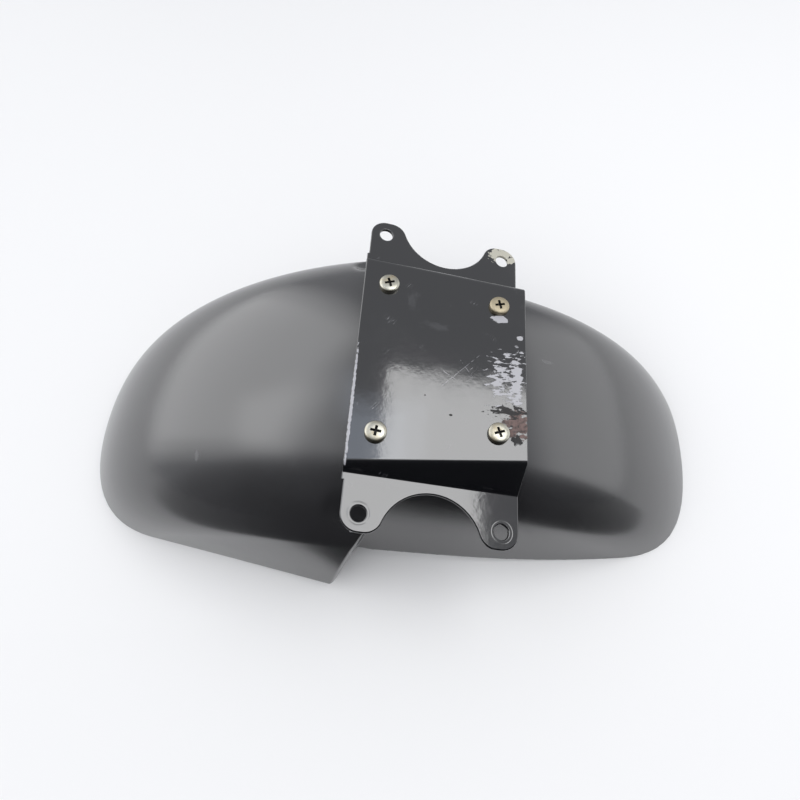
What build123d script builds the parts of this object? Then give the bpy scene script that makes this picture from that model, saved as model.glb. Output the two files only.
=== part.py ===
from build123d import *
import os
from math import acos, cos, degrees, radians, sin, sqrt, tan

os.makedirs("parts", exist_ok=True)

# Driving dimensions, in millimetres and degrees
# +X is the front, Z = 0 the table that it rests on, and the origin is at mid length

# Hood of the shell, measured about the wheel axis
crown_radius = 279.0        # at the top
tail_rise = 1.0             # further out than that at the rear end
nose_sink = 3.4             # and further in at the front end
axle_drop = 141.0           # wheel axis below the table
wall = 2.5
wall_draft = 9.0            # the side walls lean out this far towards the rim
overrun = 5.8               # degrees that the hood's sections run on below the table
flare_angle = 1.1           # the flare ends at this place on the crown
waist_angle = 4.8           # and the front width begins at this one
stations = 6                # sections in each loft

# Sections of the hood: half-width and depth at the foot of the shoulder, and fullness
# A fullness of 0.55 gives an elliptical shoulder, and more is squarer
tail_half = 87.5            # at the rear end
tail_shoulder = 53.0
tail_fullness = 0.63
flare_half = 107.8          # at the end of the flare
flare_shoulder = 48.0
flare_fullness = 0.56
waist_room = 5.3            # beside the fork, beyond the bracket's folds
waist_shoulder = 37.0
waist_fullness = 0.9
nose_spread = 7.4           # at the front end, wider than beside the fork
nose_shoulder = 49.0
nose_fullness = 0.64

# Rim
rim_rise = 17.0             # above the table beside the fork
rim_flat = 175.0            # flat on the table beyond this distance

# Hollow in the shoulder behind each rear ear
relief_radius = 15.5
relief_drop = 19.0          # its axis below the flanges
relief_room = 0.8           # its round end is centred this far behind the ear
relief_length = 34.0

# Seat for the bracket
plate_tilt = 8.5            # the seat faces this far forward of straight up
seat_rise = 3.5             # above the crown
seat_floor = 4.0
seat_length = 98.0
seat_inset = 5.0            # inside the plate's folds
seat_depth = 34.0
seat_draft = 6.0

# Bracket, folded from one sheet
sheet = 2.5
bracket_length = 105.0
flange_tilt = 8.5           # flanges against the plate
flange_drop = 13.6          # from the plate to the flanges, at mid length
fold_half = 74.3            # fold at the foot of the step
step_lean = 33.0            # step away from straight down
bend_inside = 1.5
ear_pitch = 85.0
ear_half = 97.1
ear_radius = 10.5
ear_hole = 9.0              # clears an M8 bolt
ear_shift = 1.2
ear_neck = 21.8             # width of an ear beside the arch
arch_out = 3.8              # centre of the arch beyond the ears

# Screws, washers and nuts
screw_edge = 17.8           # inside the plate's folds
thread = 6.0
thread_room = 0.05
hole_room = 0.3
screw_end = 2.9             # past the nut
head_diameter = 13.0
head_height = 3.6
head_rim = 1.8              # straight side of the head
recess_span = 6.6
recess_width = 1.4
recess_depth = 2.0
washer_diameter = 16.0
washer_thickness = 1.6
washer_room = 2.5           # to the seat's rear and front walls
nut_flats = 10.0
nut_height = 5.0

# Sizes that follow from these
fork_lean = plate_tilt + flange_tilt
tail_crown = crown_radius + tail_rise
nose_crown = crown_radius - nose_sink
waist_half = fold_half + waist_room
nose_half = waist_half + nose_spread
end_angle = degrees(acos(axle_drop / tail_crown)) + overrun
hood_depth = (crown_radius - axle_drop) / cos(radians(fork_lean)) + rim_rise
tail_reach = sqrt(tail_crown**2 - axle_drop**2)
nose_reach = sqrt(nose_crown**2 - axle_drop**2)
axle_ahead = (tail_reach - nose_reach) / 2
ear_end = ear_half + ear_radius
ear_span = ear_pitch * cos(radians(flange_tilt)) + 2 * ear_radius
strip_reach = max(bracket_length, ear_span) / 2 + 2 * sheet
strip_depth = flange_drop + strip_reach * tan(radians(flange_tilt)) + 2 * sheet
screw_pitch = seat_length - 2 * (wall + washer_room) - washer_diameter
screw_length = sheet + seat_floor + washer_thickness + nut_height + screw_end

# Planes that the pieces share
wheel = Plane((axle_ahead, 0, -axle_drop))
plate_top = wheel.rotated((0, plate_tilt, 0)).offset(crown_radius + seat_rise + sheet)
seat_top = plate_top.offset(-sheet)
seat_under = seat_top.offset(-seat_floor)
washer_under = seat_under.offset(-washer_thickness)
flange_top = plate_top.offset(-flange_drop).rotated((0, flange_tilt, 0))


# Half-width of the bracket's plate, between its folds
def plate_half(x):
    drop = flange_drop + x * tan(radians(flange_tilt))
    return fold_half - drop * tan(radians(step_lean))


screw_spots = []
for x in (-screw_pitch / 2, screw_pitch / 2):
    for side in (-1, 1):
        screw_spots.append((x, side * (plate_half(x) - screw_edge)))


# Sections that the hood passes through: crown radius, half-width, shoulder, fullness and lean
tail_form = (tail_crown, tail_half, tail_shoulder, tail_fullness, -end_angle)
flare_form = (crown_radius, flare_half, flare_shoulder, flare_fullness, fork_lean)
waist_form = (crown_radius, waist_half, waist_shoulder, waist_fullness, fork_lean)
nose_form = (nose_crown, nose_half, nose_shoulder, nose_fullness, end_angle)


# Section of the hood at a place on the crown
def hood_form(angle):
    if angle <= flare_angle:
        start, end = tail_form, flare_form
        share = (angle + end_angle) / (flare_angle + end_angle)
    elif angle >= waist_angle:
        start, end = waist_form, nose_form
        share = (angle - waist_angle) / (end_angle - waist_angle)
    else:
        start, end = flare_form, waist_form
        share = (angle - flare_angle) / (waist_angle - flare_angle)
        share = share * share * (3 - 2 * share)
    return [a + (b - a) * share for a, b in zip(start, end)]


# Solid hood in three lofts, tail, waist and nose, with its faces set in by inset
def hood(inset):
    slope = tan(radians(wall_draft))
    with BuildPart() as body:
        for start, end in ((-end_angle, flare_angle), (flare_angle, waist_angle), (waist_angle, end_angle)):
            for step in range(stations):
                angle = start + (end - start) * step / (stations - 1)
                crown, half, shoulder, fullness, lean = hood_form(angle)
                side = half - inset / cos(radians(wall_draft))
                foot = side + (hood_depth - shoulder) * slope
                rise = fullness * (shoulder - inset)
                ridge = wheel.rotated((0, angle, 0)).offset(crown).origin
                station = Plane(ridge, x_dir=(0, 1, 0), z_dir=(cos(radians(lean)), 0, -sin(radians(lean))))
                with BuildSketch(station):
                    with BuildLine():
                        Polyline((0, -hood_depth), (foot, -hood_depth), (side, -shoulder))
                        Bezier(
                            (side, -shoulder),
                            (side - rise * slope, rise - shoulder),
                            (fullness * side, -inset),
                            (0, -inset),
                        )
                        mirror(about=Plane.YZ)
                    make_face()
            loft()
    return body.part


# Drafted block under the bracket plate, from the given plane down
def seat_block(top, inset):
    end = seat_length / 2 - inset
    rear = plate_half(-end) - seat_inset - inset
    front = plate_half(end) - seat_inset - inset
    with BuildPart() as block:
        with BuildSketch(top):
            with BuildLine():
                Polyline((-end, -rear), (end, -front), (end, front), (-end, rear), close=True)
            make_face()
        extrude(amount=-seat_depth, taper=-seat_draft)
    return block.part


# Space under the rim, flat at both ends and arched beside the fork
with BuildPart() as under_rim:
    with BuildSketch(Plane.XZ):
        with BuildLine():
            arch = Spline((-rim_flat, 0), (0, rim_rise), (rim_flat, 0), tangents=((1, 0), (1, 0)))
            Polyline(
                arch @ 1,
                (crown_radius, 0),
                (crown_radius, -crown_radius),
                (-crown_radius, -crown_radius),
                (-crown_radius, 0),
                arch @ 0,
            )
        make_face()
    extrude(amount=crown_radius, both=True)


# Round-ended space behind each rear ear, with its faces set out by margin
def ear_relief(margin):
    behind = ear_shift - ear_pitch / 2 - ear_radius - relief_room
    forward = (Align.CENTER, Align.CENTER, Align.MIN)
    with BuildPart() as space:
        with Locations(flange_top.offset(-relief_drop)):
            with Locations((behind, -ear_half), (behind, ear_half)):
                Sphere(relief_radius + margin)
                with Locations(Rotation(0, 90, 0)):
                    Cylinder(relief_radius + margin, relief_length, align=forward)
    return space.part


# Space inside the shell
with BuildPart() as inner_space:
    add(hood(wall))
    add(ear_relief(wall), mode=Mode.SUBTRACT)
    add(seat_block(seat_under, wall))

# Moulded shell: hood and raised seat
with BuildPart() as mudguard_shell:
    add(hood(0))
    add(ear_relief(0), mode=Mode.SUBTRACT)
    add(seat_block(seat_top, 0))
    add(under_rim.part, mode=Mode.SUBTRACT)
    add(inner_space.part, mode=Mode.SUBTRACT)
    with Locations(seat_top):
        with Locations(*screw_spots):
            Hole(thread / 2 + hole_room, depth=seat_floor)
mudguard_shell.part.label = "mudguard_shell"
export_step(mudguard_shell.part, "parts/mudguard_shell.step")


# Everything below the bracket's folded faces, lowered by drop: plate, leaning steps and flanges
def under_folds(drop):
    lean = tan(radians(step_lean))
    tilt = tan(radians(flange_tilt))
    with BuildPart() as block:
        with BuildSketch(plate_top.offset(-drop)):
            Rectangle(2 * strip_reach + drop, 4 * fold_half + drop)
        extrude(amount=-ear_span)
        for side in (-1, 1):
            fold = plate_top.from_local_coords((0, side * fold_half, -flange_drop))
            facing = plate_top.from_local_coords((lean * tilt, side, lean)) - plate_top.origin
            split(bisect_by=Plane(fold, z_dir=facing).offset(-drop), keep=Keep.BOTTOM)
        with BuildSketch(flange_top.offset(-drop)):
            Rectangle(2 * strip_reach + drop, 4 * fold_half + drop)
        extrude(amount=-ear_span)
    return block.part


# Fork bracket: a folded strip, punched to its outline
with BuildPart() as fork_bracket:
    add(under_folds(0))
    add(under_folds(sheet), mode=Mode.SUBTRACT)
    bends = edges().filter_by(lambda e: e.length > ear_span and fold_half / 2 < abs(e.center().Y) < ear_half)
    bends = bends.sort_by(Axis(plate_top.origin, plate_top.z_dir))
    fillet(bends[2:6], bend_inside)
    fillet(bends[:2] + bends[6:], bend_inside + sheet)
    with BuildSketch(plate_top.offset(-strip_depth)):
        Rectangle(bracket_length, 2 * fold_half + 4 * sheet)
        with Locations((ear_shift, 0)):
            Rectangle(ear_span, 2 * ear_end)
        with Locations((ear_shift, -ear_end - arch_out), (ear_shift, ear_end + arch_out)):
            Circle(ear_span / 2 - ear_neck, mode=Mode.SUBTRACT)
        fillet([v for v in vertices() if abs(v.Y) > ear_end - 0.01], ear_radius)
    extrude(amount=strip_depth + sheet, mode=Mode.INTERSECT)
    with Locations(flange_top):
        with Locations((ear_shift, 0)):
            with GridLocations(ear_pitch, 2 * ear_half, 2, 2):
                Hole(ear_hole / 2, depth=2 * sheet)
    with Locations(plate_top):
        with Locations(*screw_spots):
            Hole(thread / 2 + hole_room, depth=sheet)
fork_bracket.part.label = "fork_bracket"
export_step(fork_bracket.part, "parts/fork_bracket.step")

# Cross-recessed pan-head screw, head seated at Z = 0
with BuildPart() as screw:
    with BuildSketch(Plane.XZ):
        with BuildLine():
            Polyline((0, head_height), (0, -screw_length), (thread / 2, -screw_length))
            Polyline((thread / 2, -screw_length), (thread / 2, 0), (head_diameter / 2, 0))
            Line((head_diameter / 2, 0), (head_diameter / 2, head_rim))
            TangentArc((0, head_height), (head_diameter / 2, head_rim), tangent=(1, 0))
        make_face()
    revolve(axis=Axis.Z)
    with BuildSketch(Plane.XY.offset(head_height)):
        Rectangle(recess_span, recess_width)
        Rectangle(recess_width, recess_span)
    extrude(amount=-recess_depth, taper=12, mode=Mode.SUBTRACT)
    chamfer(edges().group_by(Axis.Z)[0], thread / 8)

with BuildPart() as bracket_screws:
    with Locations(plate_top):
        with Locations(*screw_spots):
            add(screw.part)
bracket_screws.part.label = "bracket_screws"
export_step(bracket_screws.part, "parts/bracket_screws.step")

# Washers against the underside of the seat
with BuildPart() as seat_washers:
    with BuildSketch(seat_under):
        with Locations(*screw_spots):
            Circle(washer_diameter / 2)
            Circle(thread / 2 + hole_room, mode=Mode.SUBTRACT)
    extrude(amount=-washer_thickness)
seat_washers.part.label = "seat_washers"
export_step(seat_washers.part, "parts/seat_washers.step")

# Hexagon nuts under the washers
with BuildPart() as seat_nuts:
    with BuildSketch(washer_under):
        with Locations(*screw_spots):
            RegularPolygon(nut_flats / 2, 6, major_radius=False)
            Circle(thread / 2 + thread_room, mode=Mode.SUBTRACT)
    extrude(amount=-nut_height)
seat_nuts.part.label = "seat_nuts"
export_step(seat_nuts.part, "parts/seat_nuts.step")
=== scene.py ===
from math import cos, hypot, pi, radians, sin, tan

import bmesh
import bpy
from mathutils import Matrix, Vector


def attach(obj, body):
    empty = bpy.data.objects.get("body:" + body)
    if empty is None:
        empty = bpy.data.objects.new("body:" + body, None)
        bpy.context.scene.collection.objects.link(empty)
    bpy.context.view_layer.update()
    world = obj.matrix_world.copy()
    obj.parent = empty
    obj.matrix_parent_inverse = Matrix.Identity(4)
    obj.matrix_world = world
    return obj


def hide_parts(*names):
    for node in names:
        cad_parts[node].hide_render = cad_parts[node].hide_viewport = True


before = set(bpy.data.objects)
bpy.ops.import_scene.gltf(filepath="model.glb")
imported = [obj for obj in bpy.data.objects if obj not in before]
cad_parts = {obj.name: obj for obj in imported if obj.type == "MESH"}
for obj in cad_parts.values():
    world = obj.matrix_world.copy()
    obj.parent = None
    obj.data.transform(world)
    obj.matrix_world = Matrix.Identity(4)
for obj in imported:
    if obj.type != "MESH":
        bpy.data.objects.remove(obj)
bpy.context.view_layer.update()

mm = 0.001


# small helpers

def smooth(low, high, value):
    share = min(max((value - low) / (high - low), 0), 1)
    return share * share * (3 - 2 * share)


def mix(a, b, share):
    return a + (b - a) * share


def inMetres(values):
    return [value * mm for value in values]


def newObject(name, data):
    holder = bpy.data.objects.new(name, data)
    bpy.context.scene.collection.objects.link(holder)
    return holder


def meshFrom(bm, name):
    mesh = bpy.data.meshes.new(name)
    bm.to_mesh(mesh)
    bm.free()
    return mesh


def bakeModifiers(piece):  # the evaluated result becomes the piece's own plain mesh
    evaluated = piece.evaluated_get(bpy.context.evaluated_depsgraph_get())
    mesh = bpy.data.meshes.new_from_object(evaluated)
    piece.modifiers.clear()
    old = piece.data
    piece.data = mesh
    bpy.data.meshes.remove(old)
    mesh.name = piece.name


def shadeByAngle(mesh, angle):
    mesh.shade_smooth()
    mesh.set_sharp_from_angle(angle=radians(angle))


def setMaterial(piece, material):
    piece.data.materials.clear()
    piece.data.materials.append(material)


# node helpers

def newTree(name, kind, inputs, outputs):  # inputs as (name, kind, starting value)
    tree = bpy.data.node_groups.new(name, kind)
    for label, socketKind, value in inputs:
        socket = tree.interface.new_socket(label, in_out="INPUT", socket_type="NodeSocket" + socketKind)
        if value is not None:
            socket.default_value = value
    for label, socketKind in outputs:
        tree.interface.new_socket(label, in_out="OUTPUT", socket_type="NodeSocket" + socketKind)
    given = tree.nodes.new("NodeGroupInput").outputs
    result = tree.nodes.new("NodeGroupOutput").inputs
    return tree, given, result


def plug(tree, socket, value):  # another node's output is linked, a plain value is set
    if isinstance(value, bpy.types.NodeSocket):
        tree.links.new(value, socket)
    else:
        socket.default_value = value


def addNode(tree, kind, values=None, **options):
    node = tree.nodes.new(kind)
    for name, option in options.items():
        setattr(node, name, option)
    for socket, value in (values or {}).items():
        plug(tree, node.inputs[socket], value)
    return node


def calc(tree, operation, a, b=0.0, clamp=False):
    return addNode(tree, "ShaderNodeMath", {0: a, 1: b}, operation=operation, use_clamp=clamp).outputs[0]


def times(tree, a, b):
    return calc(tree, "MULTIPLY", a, b)


def plus(tree, a, b):
    return calc(tree, "ADD", a, b)


def invert(tree, mask):
    return calc(tree, "SUBTRACT", 1.0, mask)


def largest(tree, masks):
    result = masks[0]
    for mask in masks[1:]:
        result = calc(tree, "MAXIMUM", result, mask)
    return result


def vectorCalc(tree, operation, a, b):
    return addNode(tree, "ShaderNodeVectorMath", {0: a, 1: b}, operation=operation).outputs["Vector"]


def lengthOf(tree, vector):
    return addNode(tree, "ShaderNodeVectorMath", {0: vector}, operation="LENGTH").outputs["Value"]


def rampBetween(tree, value, low, high, kind="SMOOTHSTEP"):  # 0 up to low, 1 from high on
    return addNode(
        tree, "ShaderNodeMapRange", {"Value": value, "From Min": low, "From Max": high},
        interpolation_type=kind,
    ).outputs["Result"]


def mixColour(tree, mask, a, b):
    sockets = {0: mask, 6: a, 7: b}  # the colour mix's factor, A and B
    return addNode(tree, "ShaderNodeMix", sockets, data_type="RGBA").outputs[2]


def noise(tree, vector, scale, detail=3.0, rough=0.55):
    return addNode(tree, "ShaderNodeTexNoise", {
        "Vector": vector, "Scale": scale, "Detail": detail, "Roughness": rough}).outputs[0]


def aroundZero(tree, value):  # noise lies about a half
    return calc(tree, "SUBTRACT", value, 0.5)


# moulded shell

shellForm = {
    # crown radius, half-width, shoulder, fullness and lean of the four sections that shape the hood
    "tail": (280 * mm, 87.5 * mm, 53 * mm, 0.63, -65.56),
    "flare": (279 * mm, 107.8 * mm, 48 * mm, 0.56, 17),
    "waist": (279 * mm, 79.6 * mm, 37 * mm, 0.9, 17),
    "nose": (275.6 * mm, 87 * mm, 49 * mm, 0.64, 65.56),
    "flareAngle": 1.1, "waistAngle": 4.8, "endAngle": 65.56,  # degrees round the wheel axis
    "axleDrop": 141 * mm, "axleAhead": 2.553 * mm, "draft": 9,
    "rimRise": 17 * mm, "rimFlat": 175 * mm, "rimBevel": 0.6 * mm, "rimSegments": 2,
    "wall": 2.5 * mm, "seatWall": 4 * mm,
    "rowEnd": 62, "overhang": 14 * mm,  # rows run on below the rim before it is cut
    "tailRows": 140, "tailCrowding": 1.3, "waistRows": 22, "noseRows": 90, "columns": 64,
    "bendSteps": 60, "mostSteps": 200,  # points down one half section, round its shoulder and in all
    "rimSnap": 0.02 * mm, "rimMerge": 0.8 * mm, "merge": 0.01 * mm, "rimCorner": 40, "sharpAngle": 45,
}

seatForm = {
    "tilt": 8.5, "plateRadius": 285 * mm, "sheet": 2.5 * mm, "clearance": 0.05 * mm,
    "end": 43 * mm, "rearHalf": 58 * mm, "frontHalf": 52 * mm, "corner": 12 * mm,
    "blend": 6 * mm, "rearBlend": 8 * mm,  # width of the seat's foot, and at its rear corners
    "rearSide": (14 * mm, 34 * mm), "rearAlong": (10 * mm, -35 * mm),  # where the rear width sets in
    "tallest": 40 * mm, "lowest": 60 * mm,  # points further from the plate, or lower, aren't the seat's
}

earRelief = {
    "start": (-13.2 * mm, 97.1 * mm, 124.6 * mm), "slope": 17,
    "length": 34 * mm, "radius": 15.5 * mm, "lip": 1.6 * mm,
}


def hoodForm(angle):  # crown radius, half-width, shoulder, fullness and lean of one section
    form = shellForm
    flare, waist, end = form["flareAngle"], form["waistAngle"], form["endAngle"]
    if angle <= flare:
        a, b, share = form["tail"], form["flare"], (angle + end) / (flare + end)
    elif angle >= waist:
        a, b, share = form["waist"], form["nose"], (angle - waist) / (end - waist)
    else:
        a, b, share = form["flare"], form["waist"], smooth(flare, waist, angle)
    return [mix(*pair, share) for pair in zip(a, b)]


def rimHeight(x):  # flat at both ends, arched beside the fork
    return shellForm["rimRise"] * smooth(shellForm["rimFlat"], 0, abs(x))


def hoodSection(angle):  # half section from the ridge down past the rim
    form = shellForm
    crown, half, shoulder, fullness, lean = hoodForm(angle)
    turn = radians(angle)
    ridge = Vector((form["axleAhead"] + crown * sin(turn), 0, crown * cos(turn) - form["axleDrop"]))
    down = Vector((-sin(radians(lean)), 0, -cos(radians(lean))))
    slope = tan(radians(form["draft"]))
    rise = fullness * shoulder
    bend = [(0, 0), (fullness * half, 0), (half - rise * slope, shoulder - rise), (half, shoulder)]
    points = []
    for step in range(form["mostSteps"]):
        t = step / form["bendSteps"]
        if t <= 1:  # a cubic curve round the shoulder, then the straight wall
            weights = ((1 - t) ** 3, 3 * t * (1 - t) ** 2, 3 * t * t * (1 - t), t ** 3)
            side = sum(weight * point[0] for weight, point in zip(weights, bend))
            depth = sum(weight * point[1] for weight, point in zip(weights, bend))
        else:
            depth = shoulder * t
            side = half + (depth - shoulder) * slope
        place = ridge + down * depth + Vector((0, side, 0))
        points.append(place)
        if step and place.z < rimHeight(place.x) - form["overhang"]:
            break
    return points


def spreadAlong(points, count):  # even points along a line
    runs = [0]
    for a, b in zip(points, points[1:]):
        runs.append(runs[-1] + (b - a).length)
    spread = []
    at = 0
    for step in range(count):
        goal = runs[-1] * step / (count - 1)
        while at < len(runs) - 2 and runs[at + 1] < goal:
            at += 1
        share = (goal - runs[at]) / (runs[at + 1] - runs[at])
        spread.append(points[at].lerp(points[at + 1], share))
    return spread


axle = Vector((shellForm["axleAhead"], 0, -shellForm["axleDrop"]))
seatTurn = radians(seatForm["tilt"])
plateAlong = Vector((cos(seatTurn), 0, -sin(seatTurn)))
plateUp = Vector((sin(seatTurn), 0, cos(seatTurn)))
plateOrigin = axle + plateUp * seatForm["plateRadius"]


def seatShare(point):  # 1 on the flat seat, falling to 0 where the crown is itself again
    form = seatForm
    along = (point - plateOrigin).dot(plateAlong)
    half = mix(form["rearHalf"], form["frontHalf"], (along + form["end"]) / (2 * form["end"]))
    outAlong = abs(along) - form["end"] + form["corner"]
    outSide = abs(point.y) - half + form["corner"]
    beyond = hypot(max(outAlong, 0), max(outSide, 0))
    away = beyond + min(max(outAlong, outSide), 0) - form["corner"]
    rearCorner = smooth(*form["rearSide"], abs(point.y)) * smooth(*form["rearAlong"], along)
    return 1 - smooth(0, mix(form["blend"], form["rearBlend"], rearCorner), away)


def raiseSeat(point):
    height = (point - plateOrigin).dot(plateUp) + seatForm["sheet"] + seatForm["clearance"]
    if abs(height) > seatForm["tallest"]:
        return point
    return point - plateUp * height * seatShare(point)


def hollowBesideEar(point):  # pushes the shoulder clear of the rear fork bolt
    form = earRelief
    x, y, z = form["start"]
    start = Vector((x, y if point.y > 0 else -y, z))
    along = Vector((cos(radians(form["slope"])), 0, -sin(radians(form["slope"]))))
    reach = min(max((point - start).dot(along), 0), form["length"])
    away = point - start - along * reach
    deep = form["radius"] - away.length
    if deep < -form["lip"]:
        return point
    push = (deep + form["lip"]) ** 2 / (4 * form["lip"]) if deep < form["lip"] else deep
    return point + away.normalized() * push


def rowAngles():  # closer together towards the flare and through the step to the waist
    form = shellForm
    flare, waist, end = form["flareAngle"], form["waistAngle"], form["rowEnd"]
    tailRows, waistRows, noseRows = form["tailRows"], form["waistRows"], form["noseRows"]
    angles = [mix(flare, -end, (row / tailRows) ** form["tailCrowding"]) for row in range(tailRows, 0, -1)]
    angles += [mix(flare, waist, row / waistRows) for row in range(waistRows)]
    angles += [mix(waist, end, row / noseRows) for row in range(noseRows + 1)]
    return angles


def hoodGrid(bm):  # both halves of every row, with the wall's share of the full thickness
    form = shellForm
    thinnest = form["wall"] / form["seatWall"]
    wallShare = bm.verts.layers.deform.verify()
    grid = []
    for angle in rowAngles():
        half = spreadAlong(hoodSection(angle), form["columns"])
        row = []
        for side, points in ((-1, half[:0:-1]), (1, half)):
            for point in points:
                place = Vector((point.x, side * point.y, point.z))
                onSeat = seatShare(place) if place.z > seatForm["lowest"] else 0
                vert = bm.verts.new(hollowBesideEar(raiseSeat(place)))
                vert[wallShare][0] = mix(thinnest, 1, onSeat)
                row.append(vert)
        grid.append(row)
    for a, b in zip(grid, grid[1:]):
        for i in range(len(a) - 1):
            bm.faces.new((a[i], b[i], b[i + 1], a[i + 1]))


def cutRim(bm):  # the rim is made level, cut with one plane and put back
    form = shellForm
    for vert in bm.verts:
        vert.co.z -= rimHeight(vert.co.x)
    bmesh.ops.bisect_plane(
        bm, geom=bm.verts[:] + bm.edges[:] + bm.faces[:], dist=form["rimSnap"],
        plane_co=(0, 0, 0), plane_no=(0, 0, 1), clear_inner=True,
    )
    edge = [vert for vert in bm.verts if abs(vert.co.z) < form["rimSnap"]]
    bmesh.ops.remove_doubles(bm, verts=edge, dist=form["rimMerge"])
    for vert in bm.verts:
        vert.co.z += rimHeight(vert.co.x)


def liftToRim(bm):
    for vert in bm.verts:
        vert.co.z = max(vert.co.z, rimHeight(vert.co.x))


def levelRim(mesh):  # the wall's inner face ends level with its outer one, and both edges are eased
    form = shellForm
    bm = bmesh.new()
    bm.from_mesh(mesh)
    liftToRim(bm)
    corners = []
    for edge in bm.edges:
        onRim = all(vert.co.z - rimHeight(vert.co.x) < form["rimSnap"] for vert in edge.verts)
        if onRim and len(edge.link_faces) == 2 and edge.calc_face_angle() > radians(form["rimCorner"]):
            corners.append(edge)
    bmesh.ops.bevel(
        bm, geom=corners, offset=form["rimBevel"], segments=form["rimSegments"],
        profile=0.5, affect="EDGES",
    )
    bmesh.ops.remove_doubles(bm, verts=bm.verts, dist=form["merge"])
    liftToRim(bm)
    bm.to_mesh(mesh)
    bm.free()


def buildShell():
    bm = bmesh.new()
    hoodGrid(bm)
    cutRim(bm)
    bmesh.ops.recalc_face_normals(bm, faces=bm.faces)
    top = max(bm.faces, key=lambda face: face.calc_center_median().z)
    if top.normal.z < 0:
        bmesh.ops.reverse_faces(bm, faces=bm.faces)
    piece = newObject("mudguardShell", meshFrom(bm, "mudguardShell"))
    piece.vertex_groups.new(name="wallShare")
    wall = piece.modifiers.new("wall", "SOLIDIFY")
    wall.thickness = shellForm["seatWall"]
    wall.offset = -1
    wall.use_even_offset = True
    wall.vertex_group = "wallShare"
    bakeModifiers(piece)
    levelRim(piece.data)
    shadeByAngle(piece.data, shellForm["sharpAngle"])
    return piece


mudguardShell = buildShell()
print("shell", len(mudguardShell.data.polygons), "faces")


# fork bracket

bracketForm = {
    "edgeBevel": 0.75 * mm, "bevelSegments": 3, "sharpAngle": 50,
    "merge": 0.002 * mm, "flatAngle": 0.4, "flatWeight": 100,
}


def buildBracket():  # the folded sheet with its punched edges eased
    form = bracketForm
    bm = bmesh.new()
    bm.from_mesh(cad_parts["fork_bracket"].data)
    bmesh.ops.remove_doubles(bm, verts=bm.verts, dist=form["merge"])
    bmesh.ops.dissolve_limit(bm, angle_limit=radians(form["flatAngle"]), verts=bm.verts, edges=bm.edges)
    bm.verts.index_update()
    points = [vert.co[:] for vert in bm.verts]
    faces = [[vert.index for vert in face.verts] for face in bm.faces]
    bm.free()
    mesh = bpy.data.meshes.new("forkBracket")
    mesh.from_pydata(points, [], faces)
    mesh.shade_smooth()
    piece = newObject("forkBracket", mesh)
    bevel = piece.modifiers.new("easedEdges", "BEVEL")
    bevel.width = form["edgeBevel"]
    bevel.segments = form["bevelSegments"]
    bevel.limit_method = "ANGLE"
    bevel.angle_limit = radians(form["sharpAngle"])
    bevel.use_clamp_overlap = False
    flat = piece.modifiers.new("flatFaces", "WEIGHTED_NORMAL")
    flat.weight = form["flatWeight"]
    bakeModifiers(piece)
    return piece


forkBracket = buildBracket()
print("bracket", len(forkBracket.data.polygons), "faces")


# screws, washers and nuts

fastenerForm = {
    "pitch": 72 * mm, "rearHalf": 51.16 * mm, "frontHalf": 44.17 * mm,
    "turns": (-7, 18, 19, 14),  # degrees that each cross is turned
    "around": 48, "merge": 0.001 * mm,
}


def spunMesh(name, profile):  # profile of (radius, height) turned about Z
    bm = bmesh.new()
    verts = [bm.verts.new((radius, 0, height)) for radius, height in profile]
    edges = [bm.edges.new(pair) for pair in zip(verts, verts[1:])]
    bmesh.ops.spin(
        bm, geom=verts + edges, cent=(0, 0, 0), axis=(0, 0, 1), angle=2 * pi,
        steps=fastenerForm["around"], use_merge=True,
    )
    bmesh.ops.remove_doubles(bm, verts=bm.verts, dist=fastenerForm["merge"])
    bmesh.ops.recalc_face_normals(bm, faces=bm.faces)
    return meshFrom(bm, name)


screwForm = {
    "headDiameter": 13 * mm, "headHeight": 3.2 * mm, "headSide": 1.6 * mm,
    "domeSteps": 10, "domeOut": 0.55, "domeUp": 0.8,  # the two powers make a round shoulder and a low dome
    "recessSpan": 7.2 * mm, "recessWidth": 1.8 * mm, "recessDepth": 2.2 * mm, "recessTaper": 0.7,
    "cutterTop": 1 * mm,
    # a face in the cross is the recess's if it lies under the dome's skin or stands up steeply
    # the halves are shares of the cross's width and span, with a little over
    "crossHalves": (0.52, 0.51), "crossLowest": 0.5 * mm, "domeSkin": 0.25 * mm, "steep": 0.7,
    "thread": 6 * mm, "threadPitch": 1 * mm, "threadDepth": 0.5 * mm,
    "shank": 16 * mm, "plainShank": 5 * mm, "sharpAngle": 38,
}


def screwProfile():
    form = screwForm
    head, thread = form["headDiameter"] / 2, form["thread"] / 2
    root = thread - form["threadDepth"]
    profile = [(0, -form["shank"]), (root, -form["shank"])]
    height = -form["shank"] + form["threadDepth"]
    while height < -form["plainShank"]:
        profile += [(thread, height), (root, height + form["threadPitch"] / 2)]
        height += form["threadPitch"]
    profile += [(thread, -form["plainShank"]), (thread, 0), (head, 0), (head, form["headSide"])]
    crownRise = form["headHeight"] - form["headSide"]
    for step in range(1, form["domeSteps"]):
        turn = step / form["domeSteps"] * pi / 2
        out = head * cos(turn) ** form["domeOut"]
        profile.append((out, form["headSide"] + crownRise * sin(turn) ** form["domeUp"]))
    return profile + [(0, form["headHeight"])]


def crossCutter():  # two tapered bars
    form = screwForm
    bm = bmesh.new()
    for turn in (0, pi / 2):
        for vert in bmesh.ops.create_cube(bm, size=1)["verts"]:
            low = vert.co.z < 0
            shrink = form["recessTaper"] if low else 1
            x = vert.co.x * form["recessSpan"] * shrink
            y = vert.co.y * form["recessWidth"] * shrink
            z = form["headHeight"] + (-form["recessDepth"] if low else form["cutterTop"])
            vert.co = (x * cos(turn) - y * sin(turn), x * sin(turn) + y * cos(turn), z)
    return newObject("crossCutter", meshFrom(bm, "crossCutter"))


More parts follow.
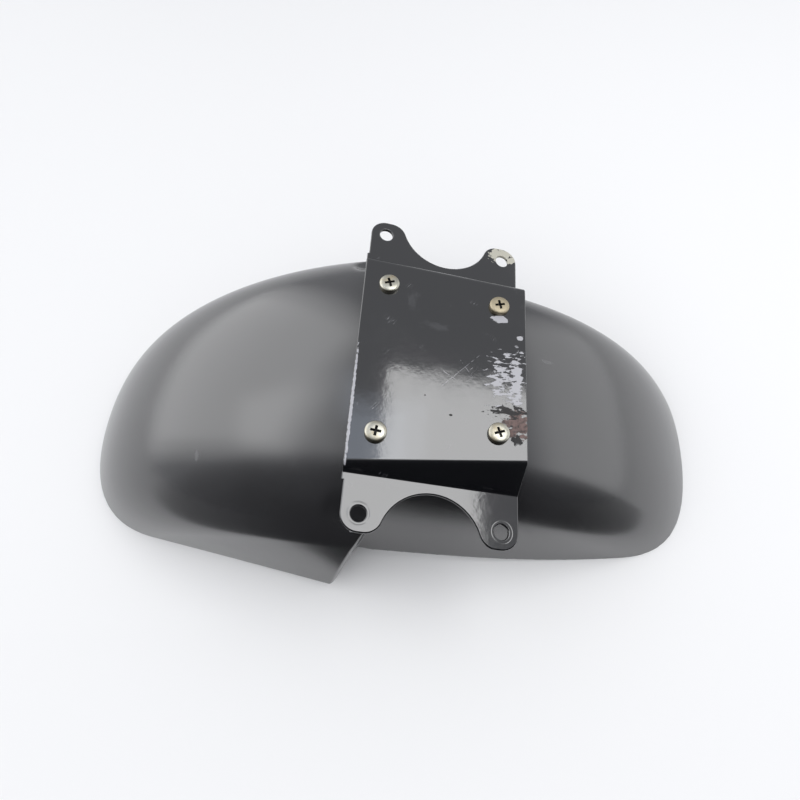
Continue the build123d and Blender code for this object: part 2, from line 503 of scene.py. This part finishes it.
def inRecess(face):
    form = screwForm
    x, y, z = face.center
    across, along = sorted((abs(x), abs(y)))
    halfWidth, halfSpan = form["crossHalves"]
    inCross = across < form["recessWidth"] * halfWidth and along < form["recessSpan"] * halfSpan
    underSkin = z < form["headHeight"] - form["domeSkin"] or abs(face.normal.z) < form["steep"]
    return inCross and z > form["crossLowest"] and underSkin


def buildScrew():
    piece = newObject("screwPattern", spunMesh("screwPattern", screwProfile()))
    cutter = crossCutter()
    cut = piece.modifiers.new("recess", "BOOLEAN")
    cut.operation = "DIFFERENCE"
    cut.solver = "EXACT"
    cut.use_self = True
    cut.object = cutter
    bakeModifiers(piece)
    bpy.data.objects.remove(cutter)
    mesh = piece.data
    recess = mesh.attributes.new("recess", "BOOLEAN", "FACE")
    for face in mesh.polygons:
        recess.data[face.index].value = inRecess(face)
    shadeByAngle(mesh, screwForm["sharpAngle"])
    return piece


washerForm = {
    "drop": 6.5 * mm, "diameter": 16 * mm, "hole": 6.6 * mm, "thickness": 1.6 * mm, "ease": 0.25 * mm,
    "sharpAngle": 30,
}


def buildWasher():
    form = washerForm
    out, hole, low, ease = form["diameter"] / 2, form["hole"] / 2, -form["thickness"], form["ease"]
    rim = [(out - ease, 0), (out, -ease), (out, low + ease), (out - ease, low)]
    profile = [(hole, 0), *rim, (hole, low), (hole, 0)]
    piece = newObject("washerPattern", spunMesh("washerPattern", profile))
    shadeByAngle(piece.data, form["sharpAngle"])
    return piece


nutForm = {
    "drop": 8.1 * mm, "flats": 10 * mm, "height": 5 * mm, "bevel": 0.45 * mm, "bevelSegments": 2,
    "sharpAngle": 30,
}


def buildNut():
    form = nutForm
    radius = form["flats"] / 2 / cos(pi / 6)
    bm = bmesh.new()
    bmesh.ops.create_cone(
        bm, cap_ends=True, segments=6, radius1=radius, radius2=radius, depth=form["height"],
        matrix=Matrix.Translation((0, 0, -form["height"] / 2)),
    )
    rims = [edge for edge in bm.edges if len({vert.co.z > -form["height"] / 2 for vert in edge.verts}) == 1]
    bmesh.ops.bevel(
        bm, geom=rims, offset=form["bevel"], segments=form["bevelSegments"],
        profile=0.5, affect="EDGES",
    )
    piece = newObject("nutPattern", meshFrom(bm, "nutPattern"))
    shadeByAngle(piece.data, form["sharpAngle"])
    return piece


def namedValue(tree, name, kind):
    node = addNode(tree, "GeometryNodeInputNamedAttribute", {"Name": name}, data_type=kind)
    return node.outputs["Attribute"]


def fastenerTree():  # one fastener set on every spot, turned with its own cross
    tree, given, result = newTree(
        "fastenersOnSpots", "GeometryNodeTree",
        [("Spots", "Geometry", None), ("Fastener", "Object", None), ("Tilt", "Float", None),
         ("Finish", "Material", None), ("Recess Finish", "Material", None)],
        [("Fasteners", "Geometry")],
    )
    pattern = addNode(tree, "GeometryNodeObjectInfo", {"Object": given["Fastener"], "As Instance": True})
    lean = addNode(tree, "ShaderNodeCombineXYZ", {"Y": given["Tilt"]})
    placed = addNode(tree, "GeometryNodeInstanceOnPoints", {
        "Points": given["Spots"], "Instance": pattern.outputs["Geometry"],
        "Rotation": lean.outputs["Vector"]})
    spin = addNode(tree, "ShaderNodeCombineXYZ", {"Z": namedValue(tree, "turn", "FLOAT")})
    turned = addNode(tree, "GeometryNodeRotateInstances", {
        "Instances": placed.outputs["Instances"], "Rotation": spin.outputs["Vector"], "Local Space": True})
    real = addNode(tree, "GeometryNodeRealizeInstances", {"Geometry": turned.outputs["Instances"]})
    coated = addNode(tree, "GeometryNodeSetMaterial", {
        "Geometry": real.outputs["Geometry"], "Material": given["Finish"]})
    # faces in the cross recess get the recess finish, which on the screws is painted shade
    recessShaded = addNode(tree, "GeometryNodeSetMaterial", {
        "Geometry": coated.outputs["Geometry"], "Selection": namedValue(tree, "recess", "BOOLEAN"),
        "Material": given["Recess Finish"]})
    plug(tree, result["Fasteners"], recessShaded.outputs["Geometry"])
    return tree


def fastenerSpot(along, side):  # on top of the plate
    return plateOrigin + plateAlong * along + Vector((0, side, 0))


def placeFasteners(name, tree, pattern, drop, finish, recessFinish):
    form = fastenerForm
    spots = []
    for along, half in ((-form["pitch"] / 2, form["rearHalf"]), (form["pitch"] / 2, form["frontHalf"])):
        for side in (-half, half):
            spots.append(fastenerSpot(along, side) - plateUp * drop)
    mesh = bpy.data.meshes.new(name)
    mesh.from_pydata(spots, [], [])
    turns = mesh.attributes.new("turn", "FLOAT", "POINT")
    turns.data.foreach_set("value", [radians(turn) for turn in form["turns"]])
    piece = newObject(name, mesh)
    nodes = piece.modifiers.new("spots", "NODES")
    nodes.node_group = tree
    settings = {"Fastener": pattern, "Tilt": seatTurn, "Finish": finish, "Recess Finish": recessFinish}
    for item in tree.interface.items_tree:
        if item.in_out == "INPUT" and item.name in settings:
            nodes[item.identifier] = settings[item.name]
    bakeModifiers(piece)
    return piece


# shared shader effects

def grainGroup():  # fine moulded texture with slow cloudiness under it
    tree, given, result = newTree(
        "surfaceGrain", "ShaderNodeTree",
        [("Vector", "Vector", None), ("Fine Scale", "Float", 900.0), ("Cloud Scale", "Float", 14.0)],
        [("Fine", "Float"), ("Cloud", "Float")],
    )
    plug(tree, result["Fine"], noise(tree, given["Vector"], given["Fine Scale"], detail=3.0, rough=0.6))
    plug(tree, result["Cloud"], noise(tree, given["Vector"], given["Cloud Scale"], detail=5.0, rough=0.6))
    return tree


patchForm = {"toothDepth": 4.0, "toothDetail": 4.0, "toothRough": 0.6}


def patchGroup():  # a ragged spot: 1 inside an ellipse whose edge is broken into islands by noise
    tree, given, result = newTree(
        "raggedPatch", "ShaderNodeTree",
        [("Vector", "Vector", None), ("Centre", "Vector", None), ("Reach", "Vector", (0.01, 0.01, 0.01)),
         ("Raggedness", "Float", 0.5), ("Tooth Scale", "Float", 250.0), ("Stretch", "Vector", (1, 1, 1)),
         ("Softness", "Float", 0.08)],
        [("Mask", "Float")],
    )
    form = patchForm
    offset = vectorCalc(tree, "SUBTRACT", given["Vector"], given["Centre"])
    away = lengthOf(tree, vectorCalc(tree, "DIVIDE", offset, given["Reach"]))
    pulled = vectorCalc(tree, "MULTIPLY", given["Vector"], given["Stretch"])
    teeth = noise(tree, pulled, given["Tooth Scale"], form["toothDetail"], form["toothRough"])
    shift = times(tree, aroundZero(tree, teeth), given["Raggedness"])
    edge = plus(tree, away, times(tree, shift, form["toothDepth"]))
    low = invert(tree, given["Softness"])
    high = plus(tree, 1.0, given["Softness"])
    plug(tree, result["Mask"], invert(tree, rampBetween(tree, edge, low, high)))
    return tree


scratchForm = {
    "stretch": (1.0, 26.0, 1.0), "width": 0.016,
    "breakScale": 70.0, "breakLimit": 0.78, "amountShare": 0.4, "breakEdge": 0.08,
}


def scratchGroup():  # thin broken lines, turned by Angle about Z
    tree, given, result = newTree(
        "fineScratches", "ShaderNodeTree",
        [("Vector", "Vector", None), ("Angle", "Float", 0.0), ("Line Scale", "Float", 60.0),
         ("Amount", "Float", 0.5)],
        [("Mask", "Float")],
    )
    form = scratchForm
    turned = addNode(tree, "ShaderNodeVectorRotate", {
        "Vector": given["Vector"], "Angle": given["Angle"]}, rotation_type="Z_AXIS")
    stretched = vectorCalc(tree, "MULTIPLY", turned.outputs["Vector"], form["stretch"])
    lines = noise(tree, stretched, given["Line Scale"], detail=1.0, rough=0.4)
    ridge = calc(tree, "ABSOLUTE", aroundZero(tree, lines))
    thin = invert(tree, rampBetween(tree, ridge, 0.0, form["width"]))
    breaks = noise(tree, given["Vector"], form["breakScale"], detail=2.0, rough=0.5)
    limit = calc(tree, "SUBTRACT", form["breakLimit"], times(tree, given["Amount"], form["amountShare"]))
    kept = rampBetween(tree, breaks, limit, plus(tree, limit, form["breakEdge"]))
    plug(tree, result["Mask"], times(tree, thin, kept))
    return tree


surfaceGrain = grainGroup()
raggedPatch = patchGroup()
fineScratches = scratchGroup()


# materials

def newMaterial(name):
    material = bpy.data.materials.new(name)
    material.use_nodes = True
    return material, material.node_tree.nodes["Principled BSDF"].inputs


def objectPlace(tree):
    return tree.nodes.new("ShaderNodeTexCoord").outputs["Object"]


def useGroup(tree, group, place, values):
    return addNode(tree, "ShaderNodeGroup", {"Vector": place, **values}, node_tree=group).outputs


def raggedSpots(tree, place, spots, softness):
    masks = []
    for centre, reach, ragged, tooth, stretch in spots:
        masks.append(useGroup(tree, raggedPatch, place, {
            "Centre": inMetres(centre), "Reach": inMetres(reach), "Raggedness": ragged,
            "Tooth Scale": tooth, "Stretch": stretch, "Softness": softness})["Mask"])
    return largest(tree, masks)


def bumpFrom(tree, shader, height, distance, strength):
    bump = addNode(tree, "ShaderNodeBump", {"Height": height, "Distance": distance, "Strength": strength})
    plug(tree, shader["Normal"], bump.outputs["Normal"])


shellFinish = {
    "black": (0.013, 0.013, 0.014, 1), "grey": (0.019, 0.019, 0.021, 1), "scuff": (0.11, 0.11, 0.115, 1),
    "grain": {"Fine Scale": 1100.0, "Cloud Scale": 16.0}, "cloudRange": (0.3, 0.7),
    "lines": {"Angle": 0.5, "Line Scale": 22.0, "Amount": 0.35}, "lineStrength": 0.22,
    # scuffs in millimetres: centre, reach, raggedness, tooth scale, stretch of the teeth
    "scuffs": (
        ((-109.6, -57.2, 104.4), (1.4, 4, 4), 0.55, 380.0, (1, 1, 1)),
        ((113.2, 17.2, 112.7), (4.5, 1.2, 3), 0.55, 380.0, (1, 1, 1)),
    ),
    "scuffSoftness": 0.25, "scuffStrength": 0.4,
    "roughness": 0.16, "roughSpread": 0.08, "markRoughness": 0.2,
    "grainDepth": 0.02 * mm, "grainStrength": 0.5, "ior": 1.58, "gloss": 1.0,
}


def shellPlastic():
    finish = shellFinish
    material, shader = newMaterial("shellPlastic")
    tree = material.node_tree
    place = objectPlace(tree)
    grain = useGroup(tree, surfaceGrain, place, finish["grain"])
    lines = useGroup(tree, fineScratches, place, finish["lines"])["Mask"]
    scuffs = raggedSpots(tree, place, finish["scuffs"], finish["scuffSoftness"])
    scuffed = times(tree, scuffs, finish["scuffStrength"])
    marked = largest(tree, [scuffed, times(tree, lines, finish["lineStrength"])])
    clouded = rampBetween(tree, grain["Cloud"], *finish["cloudRange"])
    body = mixColour(tree, clouded, finish["black"], finish["grey"])
    plug(tree, shader["Base Color"], mixColour(tree, marked, body, finish["scuff"]))
    rough = plus(tree, times(tree, grain["Cloud"], finish["roughSpread"]), finish["roughness"])
    plug(tree, shader["Roughness"], plus(tree, rough, times(tree, marked, finish["markRoughness"])))
    shader["IOR"].default_value = finish["ior"]
    shader["Specular IOR Level"].default_value = finish["gloss"]
    bumpFrom(tree, shader, grain["Fine"], finish["grainDepth"], finish["grainStrength"])
    return material


bracketFinish = {
    "black": (0.004, 0.0043, 0.0055, 1), "pale": (0.35, 0.35, 0.375, 1), "rust": (0.15, 0.095, 0.085, 1),
    "dark": (0.010, 0.009, 0.009, 1), "bare": (0.57, 0.55, 0.45, 1),
    "grain": {"Fine Scale": 110.0, "Cloud Scale": 22.0},
    "lines": {"Angle": -0.9, "Line Scale": 26.0, "Amount": 0.4}, "lineStrength": 0.3,
    # ragged spots in the plate's own millimetres:
    # centre, reach, raggedness, tooth scale, stretch of the teeth
    "peeledAndEdgeHighlight": (
        ((48, -8, 0), (2.6, 15, 6), 1.5, 260.0, (0.4, 1.1, 1)),
        ((41, -7, 0), (6, 9, 6), 2.8, 330.0, (0.4, 1.1, 1)),
        ((49.6, 22.6, 0), (1.7, 1.6, 4), 0.4, 300.0, (1, 1, 1)),
        ((37, 35, 0), (5.5, 2.8, 4), 0.5, 260.0, (0.6, 1, 1)),
        ((-51.4, -36, 0), (0.85, 38, 3), 0.6, 500.0, (1, 1, 1)),  # along the rear edge: a painted highlight of the sheet's edge, not peeled paint
    ),
    "rusted": (
        ((47, -37, 0), (7, 8.5, 6), 0.9, 320.0, (0.7, 1, 1)),
    ),
    "chipped": (
        ((42, -29.5, 0), (9, 3, 4), 1.3, 330.0, (0.5, 1.2, 1)),
        ((47, -47, 0), (3, 3, 4), 0.8, 300.0, (1, 1, 1)),
        ((7.4, -35.4, 0), (1.1, 0.7, 3), 0.3, 300.0, (1, 1, 1)),
        ((-8.7, -24.3, 0), (0.5, 0.5, 3), 0.3, 300.0, (1, 1, 1)),
    ),
    "bared": (
        ((45, 103, -20), (10, 6, 14), 1.3, 240.0, (1, 1, 1)),  # one far ear
    ),
    "smudged": (
        ((-20, 41.5, 0), (2.2, 5, 4), 1.7, 240.0, (1, 0.5, 1)),
        ((-3.7, 24.5, 0), (6, 2.2, 4), 1.8, 240.0, (0.5, 1, 1)),
    ),
    "edgeSoftness": 0.08, "smudgeSoftness": 0.8, "smudgeStrength": 0.06, "bareStrength": 0.8,
    "rustScale": 450.0, "rustRange": (0.25, 0.62),
    # scratches in the plate's own millimetres: start and end
    "scratches": (((24, 7, 0), (1, -17, 0)), ((12, 2, 0), (20, -9, 0)), ((2, -7, 0), (10, -12, 0))),
    "scratchWidth": 0.35 * mm, "scratchStrength": 0.5, "scratchBreaks": 350.0, "scratchRange": (0.42, 0.55),
    # washer marks round the near bolt holes, in the flanges' own millimetres
    "marks": ((-41.3, -97.1, 0), (43.7, -97.1, 0)), "markRadius": 6.6 * mm, "markWidth": 0.5 * mm,
    "flangeOrigin": (42.67 * mm, 0, 127.42 * mm), "flangeTilt": 17,
    "roughness": 0.075, "hazeRange": (0.45, 0.75), "haze": 0.06,
    "wornAndEdgeRoughness": 0.35, "dullRoughness": 0.5, "lineRoughness": 0.2,
    "filmBump": 0.08 * mm, "filmStrength": 0.6, "wornAndEdgeDepth": 0.7, "ior": 1.58, "gloss": 1.0,
}


def turnedPlace(tree, place, origin, turn):  # coordinates that lie in a tilted face
    shifted = vectorCalc(tree, "SUBTRACT", place, origin)
    return addNode(tree, "ShaderNodeVectorRotate", {
        "Vector": shifted, "Angle": -turn}, rotation_type="Y_AXIS").outputs["Vector"]


def ringMask(tree, place, centre):
    finish = bracketFinish
    away = lengthOf(tree, vectorCalc(tree, "SUBTRACT", place, inMetres(centre)))
    off = calc(tree, "ABSOLUTE", calc(tree, "SUBTRACT", away, finish["markRadius"]))
    return invert(tree, rampBetween(tree, off, 0.0, finish["markWidth"]))


def scratchMask(tree, place, start, end):  # a straight scratch, broken here and there
    finish = bracketFinish
    run = (Vector(end) - Vector(start)) * mm
    offset = vectorCalc(tree, "SUBTRACT", place, inMetres(start))
    along = addNode(tree, "ShaderNodeVectorMath", {
        0: offset, 1: run / run.length_squared}, operation="DOT_PRODUCT").outputs["Value"]
    share = calc(tree, "ADD", along, 0.0, clamp=True)
    nearest = addNode(tree, "ShaderNodeVectorMath", {
        0: run, "Scale": share}, operation="SCALE").outputs["Vector"]
    away = lengthOf(tree, vectorCalc(tree, "SUBTRACT", offset, nearest))
    thin = invert(tree, rampBetween(tree, away, 0.0, finish["scratchWidth"]))
    breaks = noise(tree, place, finish["scratchBreaks"])
    return times(tree, thin, rampBetween(tree, breaks, *finish["scratchRange"]))


def bracketColour(tree, onPlate, masks, lines):  # black paint with everything that has happened to it, and a painted highlight along the rear edge
    finish = bracketFinish
    rustShare = rampBetween(tree, noise(tree, onPlate, finish["rustScale"]), *finish["rustRange"])
    rust = mixColour(tree, rustShare, finish["dark"], finish["rust"])
    # peeled paint, and the painted highlight along the rear edge, in pale grey
    colour = mixColour(tree, masks["peeledAndEdgeHighlight"], finish["black"], finish["pale"])
    colour = mixColour(tree, times(tree, masks["bared"], finish["bareStrength"]), colour, finish["bare"])
    colour = mixColour(tree, masks["rusted"], colour, rust)
    colour = mixColour(tree, masks["chipped"], colour, finish["dark"])
    scratches = [scratchMask(tree, onPlate, start, end) for start, end in finish["scratches"]]
    faint = largest(tree, [
        times(tree, lines, finish["lineStrength"]),
        times(tree, masks["smudged"], finish["smudgeStrength"]),
        times(tree, largest(tree, scratches), finish["scratchStrength"]),
    ])
    return mixColour(tree, faint, colour, finish["pale"])


def bracketPaint():
    finish = bracketFinish
    material, shader = newMaterial("bracketPaint")
    tree = material.node_tree
    place = objectPlace(tree)
    onPlate = turnedPlace(tree, place, plateOrigin, seatTurn)
    onFlange = turnedPlace(tree, place, finish["flangeOrigin"], radians(finish["flangeTilt"]))
    masks = {}
    for kind in ("peeledAndEdgeHighlight", "rusted", "chipped", "bared"):
        masks[kind] = raggedSpots(tree, onPlate, finish[kind], finish["edgeSoftness"])
    # worn paint together with the painted highlight line, for roughness and bump
    wornAndEdgeHighlight = largest(tree, list(masks.values()))
    masks["smudged"] = raggedSpots(tree, onPlate, finish["smudged"], finish["smudgeSoftness"])
    rings = largest(tree, [ringMask(tree, onFlange, centre) for centre in finish["marks"]])
    grain = useGroup(tree, surfaceGrain, onPlate, finish["grain"])
    lines = useGroup(tree, fineScratches, onPlate, finish["lines"])["Mask"]
    plug(tree, shader["Base Color"], bracketColour(tree, onPlate, masks, lines))
    haze = times(tree, rampBetween(tree, grain["Cloud"], *finish["hazeRange"]), finish["haze"])
    dull = largest(tree, [masks["chipped"], masks["rusted"]])
    rough = plus(tree, haze, finish["roughness"])
    rough = plus(tree, rough, times(tree, wornAndEdgeHighlight, finish["wornAndEdgeRoughness"]))
    rough = plus(tree, rough, times(tree, dull, finish["dullRoughness"]))
    plug(tree, shader["Roughness"], plus(tree, rough, times(tree, lines, finish["lineRoughness"])))
    shader["IOR"].default_value = finish["ior"]
    shader["Specular IOR Level"].default_value = finish["gloss"]
    film = calc(tree, "SUBTRACT", grain["Fine"], times(tree, wornAndEdgeHighlight, finish["wornAndEdgeDepth"]))
    bumpFrom(tree, shader, calc(tree, "SUBTRACT", film, rings), finish["filmBump"], finish["filmStrength"])
    return material


screwFinish = {
    "clean": (0.44, 0.43, 0.37, 1), "stained": (0.40, 0.35, 0.25, 1),
    "roughness": 0.3, "cloudScale": 120.0,
    # the far front screw has browned all over
    "brownedAt": fastenerSpot(fastenerForm["pitch"] / 2, fastenerForm["frontHalf"]),
    "brownedEdge": {"Reach": (9 * mm, 9 * mm, 9 * mm), "Raggedness": 0.2, "Softness": 0.2},
}
washerFinish = {
    "clean": (0.55, 0.55, 0.54, 1), "stained": (0.32, 0.31, 0.30, 1),
    "roughness": 0.35, "cloudScale": 90.0,
}
nutFinish = {
    "clean": (0.55, 0.55, 0.54, 1), "stained": (0.32, 0.31, 0.30, 1),
    "roughness": 0.32, "cloudScale": 110.0,
}
metalFinish = {
    "fineScale": 1400.0, "stainRange": (0.42, 0.7), "speckRange": (0.6, 0.7), "speckStrength": 0.35,
    "stainRoughness": 0.18, "grainDepth": 0.02 * mm, "grainStrength": 0.5,
    # near-black: dirt specks on the metal, and painted shade in the cross recess
    "speckDirtAndRecessShade": (0.006, 0.006, 0.006, 1), "recessShadeLight": (0.03, 0.028, 0.024, 1), "recessShadeRoughness": 0.75,
    "recessShadeGrain": {"Fine Scale": 1500.0, "Cloud Scale": 300.0},
}


def platedMetal(name, finish):
    metal = metalFinish
    material, shader = newMaterial(name)
    tree = material.node_tree
    place = objectPlace(tree)
    grain = useGroup(tree, surfaceGrain, place, {
        "Fine Scale": metal["fineScale"], "Cloud Scale": finish["cloudScale"]})
    stain = rampBetween(tree, grain["Cloud"], *metal["stainRange"])
    if "brownedAt" in finish:
        spot = {"Centre": finish["brownedAt"], **finish["brownedEdge"]}
        browned = useGroup(tree, raggedPatch, place, spot)
        stain = largest(tree, [stain, browned["Mask"]])
    specks = times(tree, rampBetween(tree, grain["Fine"], *metal["speckRange"]), metal["speckStrength"])
    plated = mixColour(tree, stain, finish["clean"], finish["stained"])
    plug(tree, shader["Base Color"], mixColour(tree, specks, plated, metal["speckDirtAndRecessShade"]))
    rough = plus(tree, times(tree, stain, metal["stainRoughness"]), finish["roughness"])
    plug(tree, shader["Roughness"], rough)
    shader["Metallic"].default_value = 1.0
    bumpFrom(tree, shader, grain["Fine"], metal["grainDepth"], metal["grainStrength"])
    return material


# the cross recess is coloured near-black: painted shade
def recessGrime():
    metal = metalFinish
    material, shader = newMaterial("recessGrime")
    tree = material.node_tree
    cloud = useGroup(tree, surfaceGrain, objectPlace(tree), metal["recessShadeGrain"])["Cloud"]
    plug(tree, shader["Base Color"], mixColour(tree, cloud, metal["speckDirtAndRecessShade"], metal["recessShadeLight"]))
    shader["Roughness"].default_value = metal["recessShadeRoughness"]
    return material


setMaterial(mudguardShell, shellPlastic())
setMaterial(forkBracket, bracketPaint())
screwZinc = platedMetal("screwZinc", screwFinish)
washerSteel = platedMetal("washerSteel", washerFinish)
nutSteel = platedMetal("nutSteel", nutFinish)
crossShade = recessGrime()
print("materials", len(bpy.data.materials))

spotTree = fastenerTree()
patterns = [buildScrew(), buildWasher(), buildNut()]
screw, washer, nut = patterns
bracketScrews = placeFasteners("bracketScrews", spotTree, screw, 0, screwZinc, crossShade)
seatWashers = placeFasteners("seatWashers", spotTree, washer, washerForm["drop"], washerSteel, washerSteel)
seatNuts = placeFasteners("seatNuts", spotTree, nut, nutForm["drop"], nutSteel, nutSteel)
for pattern in patterns:
    bpy.data.objects.remove(pattern)
print("fasteners", [len(piece.data.polygons) for piece in (bracketScrews, seatWashers, seatNuts)])


# pieces on the frame

for piece, node, slot in (
    (mudguardShell, "mudguard_shell", "shell_plastic"),
    (forkBracket, "fork_bracket", "bracket_paint"),
    (bracketScrews, "bracket_screws", "screw_zinc"),
    (seatWashers, "seat_washers", "washer_steel"),
    (seatNuts, "seat_nuts", "nut_steel"),
):
    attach(piece, "root")
    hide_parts(node)


# floor, light and camera

studio = {
    "floorReach": 3.0, "floorColour": (0.89, 0.89, 0.89, 1), "floorRoughness": 0.6, "floorGloss": 0.2,
    "skyColour": (0.59, 0.60, 0.63, 1),
    # dark flag beside the table, seen only in reflections: it thins out upwards and towards both ends
    "flagFrom": (-0.70, -0.221), "flagTo": (0.35, -0.100), "flagHigh": 0.6, "flagSolid": 0.25,
    "flagLeft": -0.05, "flagRight": 0.1, "flagRightLoss": 0.5,
    "flagColour": (0.01, 0.01, 0.01, 1), "flagRoughness": 0.9,
    # a card is laid in layers, so that its border is soft
    "cardSteps": (0.75, 0.95, 1.15), "cardGap": 0.02,
    # the camera's place and axes are fitted to the bracket in the photo
    "cameraAt": (0.0462, -0.1762, 0.4659), "lens": 27, "sensor": 36,
    "cameraRight": (0.9965, 0.0713, -0.0437), "cameraUp": (-0.0465, 0.9072, 0.4180),
    "cameraBack": (0.0694, -0.4145, 0.9074),
}

lampForm = {  # place, size, radiance, aim, colour, and whether diffuse and glossy faces see it
    "softbox": ((0.57, 0.255, 1.2), (0.70, 0.60), 3.6, (0.57, 0.255, 0), (1, 1, 1), True, True),
    "ceiling": ((-1.0, -0.8, 2.0), (3, 2.4), 1.17, (-0.2, -0.3, 0), (1, 1, 1), True, False),
    "backCard": ((-1.06, 0.54, 0.75), (2.0, 1.9), 1.6, (0, 0, 0.05), (1, 1, 1), False, True),
    "sideCard": ((1.5, 0.46, 0.5), (2.1, 1.2), 0.85, (0, 0, 0.05), (1, 1, 1), False, True),
    "leftCard": ((-0.9, 0.0, 1.2), (1.3, 0.80), 0.6, (-0.9, 0.0, 0), (1, 1, 1), False, True),
    "window": ((0.0, 0.25, 1.2), (0.42, 0.60), 1.0, (0.01, 0.25, 0), (0.86, 0.97, 1.16), False, True),
}


def stagePlane(name, corners, material):
    mesh = bpy.data.meshes.new(name)
    mesh.from_pydata(corners, [], [(0, 1, 2, 3)])
    plane = newObject(name, mesh)
    setMaterial(plane, material)
    return plane


def floorMaterial():
    material, shader = newMaterial("floorPale")
    shader["Base Color"].default_value = studio["floorColour"]
    shader["Roughness"].default_value = studio["floorRoughness"]
    shader["Specular IOR Level"].default_value = studio["floorGloss"]
    return material


def flagMaterial():
    form = studio
    material, shader = newMaterial("flagBlack")
    tree = material.node_tree
    axes = addNode(tree, "ShaderNodeSeparateXYZ", {"Vector": objectPlace(tree)}).outputs
    up = invert(tree, rampBetween(tree, axes["Z"], form["flagSolid"], form["flagHigh"]))
    left = rampBetween(tree, axes["X"], form["flagFrom"][0], form["flagLeft"], "LINEAR")
    right = rampBetween(tree, axes["X"], form["flagRight"], form["flagTo"][0])
    ends = times(tree, left, invert(tree, times(tree, right, form["flagRightLoss"])))
    plug(tree, shader["Alpha"], times(tree, up, ends))
    shader["Base Color"].default_value = form["flagColour"]
    shader["Roughness"].default_value = form["flagRoughness"]
    return material


def areaLamp(name, place, size, radiance, aim, colour, onDiffuse, onGlossy):
    lamp = bpy.data.lights.new(name, "AREA")
    lamp.shape = "RECTANGLE"
    lamp.size, lamp.size_y = size
    lamp.energy = radiance * pi * size[0] * size[1]  # watts that give the face this radiance
    lamp.color = colour
    holder = newObject(name, lamp)
    holder.location = place
    holder.rotation_euler = (Vector(aim) - Vector(place)).to_track_quat("-Z", "Y").to_euler()
    holder.visible_camera = False
    holder.visible_diffuse = onDiffuse
    holder.visible_glossy = onGlossy


def hangLamps():  # a lamp that only glossy faces see is a card
    for name, (place, size, radiance, aim, colour, onDiffuse, onGlossy) in lampForm.items():
        steps = (1,) if onDiffuse else studio["cardSteps"]
        back = (Vector(place) - Vector(aim)) * studio["cardGap"]
        for i, step in enumerate(steps):
            layerSize = [step * side for side in size]
            areaLamp(name, Vector(place) + back * i, layerSize, radiance / len(steps), aim, colour,
                     onDiffuse, onGlossy)


def setCamera():
    form = studio
    camera = bpy.data.cameras.new("photoCamera")
    camera.lens = form["lens"]
    camera.sensor_width = form["sensor"]
    holder = newObject("photoCamera", camera)
    axes = Matrix((form["cameraRight"], form["cameraUp"], form["cameraBack"])).transposed().to_4x4()
    holder.matrix_world = Matrix.Translation(form["cameraAt"]) @ axes
    bpy.context.scene.camera = holder


def buildStudio():
    form = studio
    reach = form["floorReach"]
    floor = [(-reach, -reach, 0), (reach, -reach, 0), (reach, reach, 0), (-reach, reach, 0)]
    stagePlane("floor", floor, floorMaterial())
    start, end, high = form["flagFrom"], form["flagTo"], form["flagHigh"]
    flag = stagePlane("darkFlag", [(*start, 0), (*end, 0), (*end, high), (*start, high)], flagMaterial())
    flag.visible_camera = False
    flag.visible_diffuse = False
    flag.visible_shadow = False
    flag.visible_transmission = False
    hangLamps()
    world = bpy.data.worlds.new("studioSky")
    world.use_nodes = True
    world.node_tree.nodes["Background"].inputs["Color"].default_value = form["skyColour"]
    bpy.context.scene.world = world
    setCamera()
    bpy.context.scene.view_settings.view_transform = "Standard"


buildStudio()
print("studio ready")
